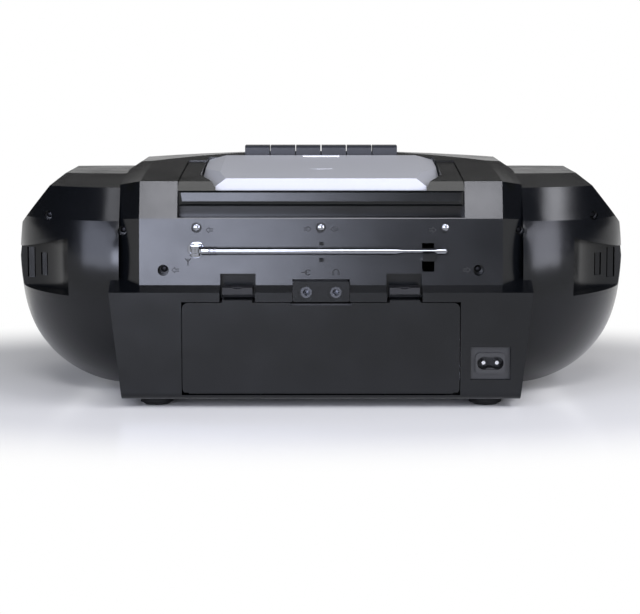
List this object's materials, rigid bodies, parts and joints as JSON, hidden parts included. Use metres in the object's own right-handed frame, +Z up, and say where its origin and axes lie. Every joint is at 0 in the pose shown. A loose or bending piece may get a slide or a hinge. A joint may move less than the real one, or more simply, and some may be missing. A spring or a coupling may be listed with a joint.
{
  "type": "portable disc and cassette player",
  "caption": "Portable stereo with a disc lid, cassette keys, folding carry handle, telescopic antenna and battery door on its back, and round speakers.",
  "frame": {"origin": "on the floor, under the middle of the whole object with the handle folded back", "axes": "+X to the left side as seen from behind, +Y to the back with the battery door and antenna, +Z up"},
  "size_m": [0.41, 0.236, 0.1601],
  "materials": {
    "black_case": "satin moulded black",
    "black_deck": "satin moulded black",
    "silver_lid": "silver lacquered plastic",
    "grey_keys": "matt dark grey",
    "black_inner": "matt black",
    "grille_metal": "black lacquered sheet",
    "silver_trim": "silver lacquered plastic",
    "white_plastic": "natural white plastic",
    "turntable_black": "matt black",
    "window_glass": "smoked clear plastic",
    "bright_chrome": "bright plated",
    "jack_metal": "dull nickel",
    "plain_steel": "plain steel",
    "dark_screws": "blackened steel",
    "board_green": "green circuit board",
    "foot_rubber": "black rubber",
    "roller_rubber": "black rubber",
    "pickup_black": "matt black with a glass lens"
  },
  "bodies": {
    "cabinet": {"rear_cabinet": "black_case", "front_cabinet": "black_case", "top_cover": "black_deck", "left_speaker": "black_inner", "right_speaker": "black_inner", "left_speaker_trim": "silver_trim", "right_speaker_trim": "silver_trim", "left_speaker_grille": "grille_metal", "right_speaker_grille": "grille_metal", "battery_box": "black_inner", "battery_contacts": "plain_steel", "jack_panel": "black_case", "aux_jack": "jack_metal", "headphone_jack": "jack_metal", "mains_inlet": "black_inner", "inlet_pins": "plain_steel", "transformer": "plain_steel", "main_board": "board_green", "disc_motor": "plain_steel", "cd_chassis": "black_inner", "handle_pins": "plain_steel", "tape_deck": "black_inner", "tape_motor": "black_inner", "display_window": "window_glass", "feet": "foot_rubber", "chrome_screws": "bright_chrome", "case_screws": "dark_screws"},
    "handle": {"handle": "black_deck"},
    "lid": {"cd_lid": "silver_lid"},
    "disc_clamp": {"disc_clamp": "white_plastic"},
    "turntable": {"turntable": "turntable_black"},
    "laser_pickup": {"laser_pickup": "pickup_black"},
    "battery_door": {"battery_door": "black_case"},
    "left_door_latch": {"left_door_latch": "black_case"},
    "right_door_latch": {"right_door_latch": "black_case"},
    "cassette_door": {"cassette_door": "black_deck", "cassette_window": "window_glass"},
    "pause_key": {"pause_key": "grey_keys"},
    "stop_key": {"stop_key": "grey_keys"},
    "forward_key": {"forward_key": "grey_keys"},
    "rewind_key": {"rewind_key": "grey_keys"},
    "play_key": {"play_key": "grey_keys"},
    "record_key": {"record_key": "grey_keys"},
    "tape_head": {"tape_head": "plain_steel"},
    "pinch_roller": {"pinch_roller": "roller_rubber"},
    "capstan": {"capstan": "plain_steel"},
    "supply_reel": {"supply_reel": "white_plastic"},
    "take_up_reel": {"take_up_reel": "white_plastic"},
    "volume_knob": {"volume_knob": "silver_trim"},
    "tuning_knob": {"tuning_knob": "silver_trim"},
    "skip_back_button": {"skip_back_button": "silver_trim"},
    "disc_play_button": {"disc_play_button": "silver_trim"},
    "disc_stop_button": {"disc_stop_button": "silver_trim"},
    "skip_on_button": {"skip_on_button": "silver_trim"},
    "antenna_base": {"antenna_base": "bright_chrome"},
    "antenna": {"antenna_knuckle": "bright_chrome", "antenna_tube_1": "bright_chrome"},
    "antenna_tube_2": {"antenna_tube_2": "bright_chrome"},
    "antenna_tube_3": {"antenna_tube_3": "bright_chrome"},
    "antenna_tube_4": {"antenna_tube_4": "bright_chrome"}
  },
  "joints": [
    {"name": "handle_fold", "type": "hinge", "parent": "cabinet", "child": "handle", "pos_m": [0, -0.02, 0.144], "axis": [1, 0, 0], "range_deg": [0, 90]},
    {"name": "lid_open", "type": "hinge", "parent": "cabinet", "child": "lid", "pos_m": [0, 0.0882, 0.1374], "axis": [-1, 0, 0], "range_deg": [0, 45]},
    {"name": "clamp_spin", "type": "hinge", "parent": "lid", "child": "disc_clamp", "pos_m": [0, 0.017, 0.144], "axis": [0, 0, 1], "continuous": true},
    {"name": "turntable_spin", "type": "hinge", "parent": "cabinet", "child": "turntable", "pos_m": [0, 0.017, 0.138], "axis": [0, 0, 1], "continuous": true},
    {"name": "pickup_slide", "type": "slide", "parent": "cabinet", "child": "laser_pickup", "axis": [0, -1, 0], "range_m": [0, 0.033]},
    {"name": "battery_door_swing", "type": "hinge", "parent": "cabinet", "child": "battery_door", "pos_m": [0, 0.1168, 0.0106], "axis": [-1, 0, 0], "range_deg": [0, 75]},
    {"name": "left_latch_flex", "type": "hinge", "parent": "battery_door", "child": "left_door_latch", "pos_m": [0.0535, 0.1048, 0.0711], "axis": [-1, 0, 0], "range_deg": [0, 8], "stiffness_Nm_per_rad": 0.3, "springref_deg": -2.86},
    {"name": "right_latch_flex", "type": "hinge", "parent": "battery_door", "child": "right_door_latch", "pos_m": [-0.0535, 0.1048, 0.0711], "axis": [-1, 0, 0], "range_deg": [0, 8], "stiffness_Nm_per_rad": 0.3, "springref_deg": -2.86},
    {"name": "cassette_door_swing", "type": "hinge", "parent": "cabinet", "child": "cassette_door", "pos_m": [0, -0.0995, 0.024], "axis": [1, 0, 0], "range_deg": [0, 35]},
    {"name": "pause_key_press", "type": "hinge", "parent": "cabinet", "child": "pause_key", "pos_m": [0.0455, -0.056, 0.143], "axis": [1, 0, 0], "range_deg": [0, 10], "stiffness_Nm_per_rad": 0.3, "springref_deg": -5.73},
    {"name": "stop_key_press", "type": "hinge", "parent": "cabinet", "child": "stop_key", "pos_m": [0.0273, -0.056, 0.143], "axis": [1, 0, 0], "range_deg": [0, 10], "stiffness_Nm_per_rad": 0.3, "springref_deg": -5.73},
    {"name": "forward_key_press", "type": "hinge", "parent": "cabinet", "child": "forward_key", "pos_m": [0.0091, -0.056, 0.143], "axis": [1, 0, 0], "range_deg": [0, 10], "stiffness_Nm_per_rad": 0.3, "springref_deg": -5.73},
    {"name": "rewind_key_press", "type": "hinge", "parent": "cabinet", "child": "rewind_key", "pos_m": [-0.0091, -0.056, 0.143], "axis": [1, 0, 0], "range_deg": [0, 10], "stiffness_Nm_per_rad": 0.3, "springref_deg": -5.73},
    {"name": "play_key_press", "type": "hinge", "parent": "cabinet", "child": "play_key", "pos_m": [-0.0273, -0.056, 0.143], "axis": [1, 0, 0], "range_deg": [0, 10]},
    {"name": "record_key_press", "type": "hinge", "parent": "cabinet", "child": "record_key", "pos_m": [-0.0455, -0.056, 0.143], "axis": [1, 0, 0], "range_deg": [0, 10], "stiffness_Nm_per_rad": 0.3, "springref_deg": -5.73},
    {"name": "head_slide", "type": "slide", "parent": "cabinet", "child": "tape_head", "axis": [0, 0, -1], "range_m": [0, 0.004], "stiffness_N_per_m": 100, "springref_m": -0.004},
    {"name": "pinch_roller_spin", "type": "hinge", "parent": "tape_head", "child": "pinch_roller", "pos_m": [0.026, -0.077, 0.09], "axis": [0, 1, 0], "continuous": true},
    {"name": "capstan_spin", "type": "hinge", "parent": "cabinet", "child": "capstan", "pos_m": [0.026, -0.066, 0.08], "axis": [0, 1, 0], "continuous": true},
    {"name": "supply_reel_spin", "type": "hinge", "parent": "cabinet", "child": "supply_reel", "pos_m": [0.02125, -0.07, 0.054], "axis": [0, 1, 0], "continuous": true},
    {"name": "take_up_reel_spin", "type": "hinge", "parent": "cabinet", "child": "take_up_reel", "pos_m": [-0.02125, -0.07, 0.054], "axis": [0, 1, 0], "continuous": true},
    {"name": "volume_turn", "type": "hinge", "parent": "cabinet", "child": "volume_knob", "pos_m": [0.058, -0.105, 0.12], "axis": [0, 1, 0], "range_deg": [-150, 150]},
    {"name": "tuning_turn", "type": "hinge", "parent": "cabinet", "child": "tuning_knob", "pos_m": [-0.058, -0.105, 0.12], "axis": [0, 1, 0], "range_deg": [-150, 150]},
    {"name": "skip_back_press", "type": "slide", "parent": "cabinet", "child": "skip_back_button", "axis": [0, 1, 0], "range_m": [0, 0.0012], "stiffness_N_per_m": 300, "springref_m": -0.001},
    {"name": "disc_play_press", "type": "slide", "parent": "cabinet", "child": "disc_play_button", "axis": [0, 1, 0], "range_m": [0, 0.0012], "stiffness_N_per_m": 300, "springref_m": -0.001},
    {"name": "disc_stop_press", "type": "slide", "parent": "cabinet", "child": "disc_stop_button", "axis": [0, 1, 0], "range_m": [0, 0.0012], "stiffness_N_per_m": 300, "springref_m": -0.001},
    {"name": "skip_on_press", "type": "slide", "parent": "cabinet", "child": "skip_on_button", "axis": [0, 1, 0], "range_m": [0, 0.0012], "stiffness_N_per_m": 300, "springref_m": -0.001},
    {"name": "antenna_swivel", "type": "hinge", "parent": "cabinet", "child": "antenna_base", "pos_m": [0.0804, 0.105, 0.1012], "axis": [0, 1, 0], "range_deg": [0, 180]},
    {"name": "antenna_tilt", "type": "hinge", "parent": "antenna_base", "child": "antenna", "pos_m": [0.0804, 0.112, 0.1012], "axis": [0, 0, -1], "range_deg": [0, 90]},
    {"name": "antenna_slide_2", "type": "slide", "parent": "antenna", "child": "antenna_tube_2", "axis": [-1, 0, 0], "range_m": [0, 0.1]},
    {"name": "antenna_slide_3", "type": "slide", "parent": "antenna_tube_2", "child": "antenna_tube_3", "axis": [-1, 0, 0], "range_m": [0, 0.1]},
    {"name": "antenna_slide_4", "type": "slide", "parent": "antenna_tube_3", "child": "antenna_tube_4", "axis": [-1, 0, 0], "range_m": [0, 0.1]}
  ],
  "couplings": [
    {"joint": "play_key_press", "follows": "head_slide", "rad_per_m": 43.6},
    {"joint": "clamp_spin", "follows": "turntable_spin", "ratio": 1}
  ]
}
